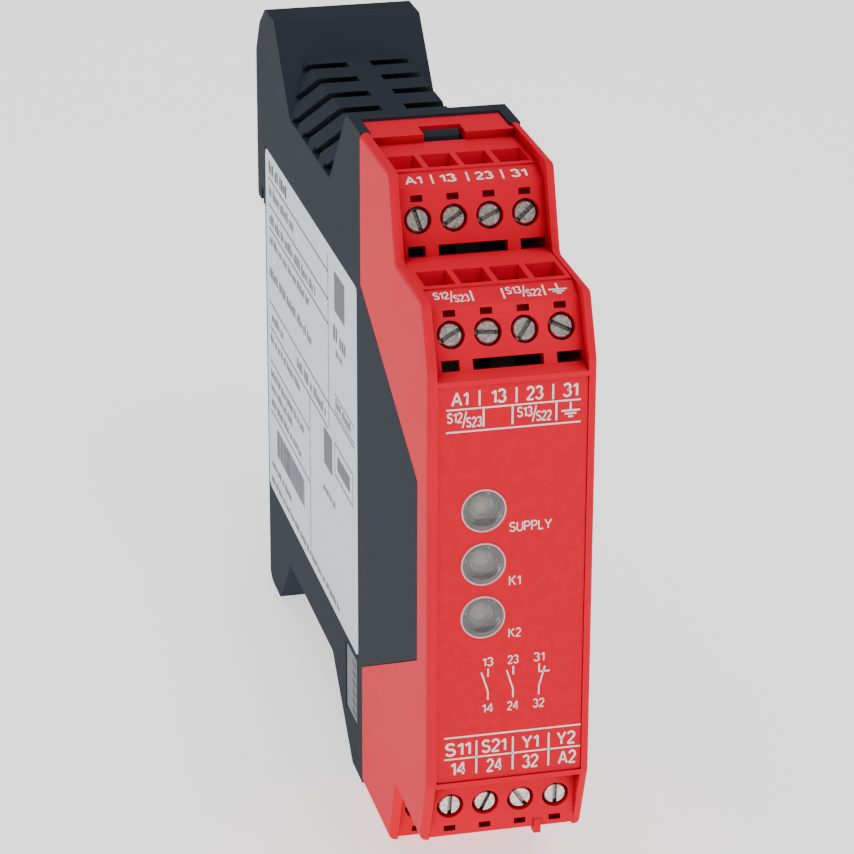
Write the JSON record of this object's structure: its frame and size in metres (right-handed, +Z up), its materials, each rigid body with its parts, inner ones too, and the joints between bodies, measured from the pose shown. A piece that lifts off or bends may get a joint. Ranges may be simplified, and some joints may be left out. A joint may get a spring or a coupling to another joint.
{
  "type": "safety relay",
  "caption": "Narrow DIN-rail safety relay: red stepped front cover with screw terminals above and below, three indicators, and a charcoal housing with louvred top and rail foot.",
  "frame": {"origin": "middle of the rail seat: on the flat rear face that bears on the rail, half way across the width and half way between the rail's two edges", "axes": "+Y to the rear, towards the rail; +Z up; +X to the right seen from the front"},
  "size_m": [0.0226, 0.114, 0.099],
  "materials": {
    "housing_charcoal": "fine matte texture",
    "cover_red": "satin",
    "label_red": "smooth printed film",
    "label_silver": "smooth printed film",
    "latch_black": "fine matte texture",
    "block_grey": "matte",
    "screw_steel": "zinc plated, turned",
    "clamp_zinc": "zinc plated",
    "contact_brass": "plain",
    "spring_steel": "drawn wire",
    "lens_clear": "clear moulded",
    "led_body": "diffuse moulded",
    "board_green": "solder resist",
    "relay_case": "translucent moulded",
    "core_steel": "stacked sheets",
    "capacitor_can": "shrink sleeve"
  },
  "bodies": {
    "housing": {"base_housing": "housing_charcoal", "front_cover": "cover_red", "front_label": "label_red", "side_label": "label_silver", "code_label": "label_silver", "latch_spring": "spring_steel", "main_board": "board_green", "front_board": "board_green", "relay_k1": "relay_case", "relay_k2": "relay_case", "transformer": "core_steel", "capacitor_large": "capacitor_can", "capacitor_small": "capacitor_can", "lens_supply": "lens_clear", "lens_k1": "lens_clear", "lens_k2": "lens_clear", "led_supply": "led_body", "led_k1": "led_body", "led_k2": "led_body", "terminal_block_upper_rear": "block_grey", "terminal_block_upper_front": "block_grey", "terminal_block_lower_rear": "block_grey", "terminal_block_lower_front": "block_grey", "contact_bars": "contact_brass"},
    "latch": {"rail_latch": "latch_black"},
    "screw_a1": {"screw_a1": "screw_steel"},
    "clamp_a1": {"clamp_a1": "clamp_zinc"},
    "screw_13": {"screw_13": "screw_steel"},
    "clamp_13": {"clamp_13": "clamp_zinc"},
    "screw_23": {"screw_23": "screw_steel"},
    "clamp_23": {"clamp_23": "clamp_zinc"},
    "screw_31": {"screw_31": "screw_steel"},
    "clamp_31": {"clamp_31": "clamp_zinc"},
    "screw_s12": {"screw_s12": "screw_steel"},
    "clamp_s12": {"clamp_s12": "clamp_zinc"},
    "screw_spare": {"screw_spare": "screw_steel"},
    "clamp_spare": {"clamp_spare": "clamp_zinc"},
    "screw_s13": {"screw_s13": "screw_steel"},
    "clamp_s13": {"clamp_s13": "clamp_zinc"},
    "screw_earth": {"screw_earth": "screw_steel"},
    "clamp_earth": {"clamp_earth": "clamp_zinc"},
    "screw_s11": {"screw_s11": "screw_steel"},
    "clamp_s11": {"clamp_s11": "clamp_zinc"},
    "screw_s21": {"screw_s21": "screw_steel"},
    "clamp_s21": {"clamp_s21": "clamp_zinc"},
    "screw_y1": {"screw_y1": "screw_steel"},
    "clamp_y1": {"clamp_y1": "clamp_zinc"},
    "screw_y2": {"screw_y2": "screw_steel"},
    "clamp_y2": {"clamp_y2": "clamp_zinc"},
    "screw_14": {"screw_14": "screw_steel"},
    "clamp_14": {"clamp_14": "clamp_zinc"},
    "screw_24": {"screw_24": "screw_steel"},
    "clamp_24": {"clamp_24": "clamp_zinc"},
    "screw_32": {"screw_32": "screw_steel"},
    "clamp_32": {"clamp_32": "clamp_zinc"},
    "screw_a2": {"screw_a2": "screw_steel"},
    "clamp_a2": {"clamp_a2": "clamp_zinc"}
  },
  "joints": [
    {"name": "latch_slide", "type": "slide", "parent": "housing", "child": "latch", "axis": [0, 0, -1], "range_m": [0, 0.003], "stiffness_N_per_m": 400, "springref_m": -0.002, "deforming": ["latch_spring"]},
    {"name": "screw_a1_turn", "type": "hinge", "parent": "housing", "child": "screw_a1", "pos_m": [-0.00735, -0.08777, 0.04272], "axis": [0, 0.9478, -0.319], "range_deg": [0, 1561]},
    {"name": "clamp_a1_slide", "type": "slide", "parent": "housing", "child": "clamp_a1", "axis": [0, -0.9478, 0.319], "range_m": [0, 0.00195]},
    {"name": "screw_13_turn", "type": "hinge", "parent": "housing", "child": "screw_13", "pos_m": [-0.00245, -0.08777, 0.04272], "axis": [0, 0.9478, -0.319], "range_deg": [0, 1561]},
    {"name": "clamp_13_slide", "type": "slide", "parent": "housing", "child": "clamp_13", "axis": [0, -0.9478, 0.319], "range_m": [0, 0.00195]},
    {"name": "screw_23_turn", "type": "hinge", "parent": "housing", "child": "screw_23", "pos_m": [0.00245, -0.08777, 0.04272], "axis": [0, 0.9478, -0.319], "range_deg": [0, 1561]},
    {"name": "clamp_23_slide", "type": "slide", "parent": "housing", "child": "clamp_23", "axis": [0, -0.9478, 0.319], "range_m": [0, 0.00195]},
    {"name": "screw_31_turn", "type": "hinge", "parent": "housing", "child": "screw_31", "pos_m": [0.00735, -0.08777, 0.04272], "axis": [0, 0.9478, -0.319], "range_deg": [0, 1561]},
    {"name": "clamp_31_slide", "type": "slide", "parent": "housing", "child": "clamp_31", "axis": [0, -0.9478, 0.319], "range_m": [0, 0.00195]},
    {"name": "screw_s12_turn", "type": "hinge", "parent": "housing", "child": "screw_s12", "pos_m": [-0.00735, -0.10617, 0.03341], "axis": [0, 0.915, -0.4035], "range_deg": [0, 1561]},
    {"name": "clamp_s12_slide", "type": "slide", "parent": "housing", "child": "clamp_s12", "axis": [0, -0.915, 0.4035], "range_m": [0, 0.00195]},
    {"name": "screw_spare_turn", "type": "hinge", "parent": "housing", "child": "screw_spare", "pos_m": [-0.00245, -0.10617, 0.03341], "axis": [0, 0.915, -0.4035], "range_deg": [0, 1561]},
    {"name": "clamp_spare_slide", "type": "slide", "parent": "housing", "child": "clamp_spare", "axis": [0, -0.915, 0.4035], "range_m": [0, 0.00195]},
    {"name": "screw_s13_turn", "type": "hinge", "parent": "housing", "child": "screw_s13", "pos_m": [0.00245, -0.10617, 0.03341], "axis": [0, 0.915, -0.4035], "range_deg": [0, 1561]},
    {"name": "clamp_s13_slide", "type": "slide", "parent": "housing", "child": "clamp_s13", "axis": [0, -0.915, 0.4035], "range_m": [0, 0.00195]},
    {"name": "screw_earth_turn", "type": "hinge", "parent": "housing", "child": "screw_earth", "pos_m": [0.00735, -0.10617, 0.03341], "axis": [0, 0.915, -0.4035], "range_deg": [0, 1561]},
    {"name": "clamp_earth_slide", "type": "slide", "parent": "housing", "child": "clamp_earth", "axis": [0, -0.915, 0.4035], "range_m": [0, 0.00195]},
    {"name": "screw_s11_turn", "type": "hinge", "parent": "housing", "child": "screw_s11", "pos_m": [-0.00735, -0.08861, -0.04421], "axis": [0, 0.9976, 0.0698], "range_deg": [0, 1561]},
    {"name": "clamp_s11_slide", "type": "slide", "parent": "housing", "child": "clamp_s11", "axis": [0, -0.9976, -0.0698], "range_m": [0, 0.00195]},
    {"name": "screw_s21_turn", "type": "hinge", "parent": "housing", "child": "screw_s21", "pos_m": [-0.00245, -0.08861, -0.04421], "axis": [0, 0.9976, 0.0698], "range_deg": [0, 1561]},
    {"name": "clamp_s21_slide", "type": "slide", "parent": "housing", "child": "clamp_s21", "axis": [0, -0.9976, -0.0698], "range_m": [0, 0.00195]},
    {"name": "screw_y1_turn", "type": "hinge", "parent": "housing", "child": "screw_y1", "pos_m": [0.00245, -0.08861, -0.04421], "axis": [0, 0.9976, 0.0698], "range_deg": [0, 1561]},
    {"name": "clamp_y1_slide", "type": "slide", "parent": "housing", "child": "clamp_y1", "axis": [0, -0.9976, -0.0698], "range_m": [0, 0.00195]},
    {"name": "screw_y2_turn", "type": "hinge", "parent": "housing", "child": "screw_y2", "pos_m": [0.00735, -0.08861, -0.04421], "axis": [0, 0.9976, 0.0698], "range_deg": [0, 1561]},
    {"name": "clamp_y2_slide", "type": "slide", "parent": "housing", "child": "clamp_y2", "axis": [0, -0.9976, -0.0698], "range_m": [0, 0.00195]},
    {"name": "screw_14_turn", "type": "hinge", "parent": "housing", "child": "screw_14", "pos_m": [-0.00735, -0.10732, -0.03421], "axis": [0, 0.9976, 0.0698], "range_deg": [0, 1561]},
    {"name": "clamp_14_slide", "type": "slide", "parent": "housing", "child": "clamp_14", "axis": [0, -0.9976, -0.0698], "range_m": [0, 0.00195]},
    {"name": "screw_24_turn", "type": "hinge", "parent": "housing", "child": "screw_24", "pos_m": [-0.00245, -0.10732, -0.03421], "axis": [0, 0.9976, 0.0698], "range_deg": [0, 1561]},
    {"name": "clamp_24_slide", "type": "slide", "parent": "housing", "child": "clamp_24", "axis": [0, -0.9976, -0.0698], "range_m": [0, 0.00195]},
    {"name": "screw_32_turn", "type": "hinge", "parent": "housing", "child": "screw_32", "pos_m": [0.00245, -0.10732, -0.03421], "axis": [0, 0.9976, 0.0698], "range_deg": [0, 1561]},
    {"name": "clamp_32_slide", "type": "slide", "parent": "housing", "child": "clamp_32", "axis": [0, -0.9976, -0.0698], "range_m": [0, 0.00195]},
    {"name": "screw_a2_turn", "type": "hinge", "parent": "housing", "child": "screw_a2", "pos_m": [0.00735, -0.10732, -0.03421], "axis": [0, 0.9976, 0.0698], "range_deg": [0, 1561]},
    {"name": "clamp_a2_slide", "type": "slide", "parent": "housing", "child": "clamp_a2", "axis": [0, -0.9976, -0.0698], "range_m": [0, 0.00195]}
  ],
  "couplings": [
    {"joint": "screw_a1_turn", "follows": "clamp_a1_slide", "rad_per_m": 13963},
    {"joint": "screw_13_turn", "follows": "clamp_13_slide", "rad_per_m": 13963},
    {"joint": "screw_23_turn", "follows": "clamp_23_slide", "rad_per_m": 13963},
    {"joint": "screw_31_turn", "follows": "clamp_31_slide", "rad_per_m": 13963},
    {"joint": "screw_s12_turn", "follows": "clamp_s12_slide", "rad_per_m": 13963},
    {"joint": "screw_spare_turn", "follows": "clamp_spare_slide", "rad_per_m": 13963},
    {"joint": "screw_s13_turn", "follows": "clamp_s13_slide", "rad_per_m": 13963},
    {"joint": "screw_earth_turn", "follows": "clamp_earth_slide", "rad_per_m": 13963},
    {"joint": "screw_s11_turn", "follows": "clamp_s11_slide", "rad_per_m": 13963},
    {"joint": "screw_s21_turn", "follows": "clamp_s21_slide", "rad_per_m": 13963},
    {"joint": "screw_y1_turn", "follows": "clamp_y1_slide", "rad_per_m": 13963},
    {"joint": "screw_y2_turn", "follows": "clamp_y2_slide", "rad_per_m": 13963},
    {"joint": "screw_14_turn", "follows": "clamp_14_slide", "rad_per_m": 13963},
    {"joint": "screw_24_turn", "follows": "clamp_24_slide", "rad_per_m": 13963},
    {"joint": "screw_32_turn", "follows": "clamp_32_slide", "rad_per_m": 13963},
    {"joint": "screw_a2_turn", "follows": "clamp_a2_slide", "rad_per_m": 13963}
  ]
}
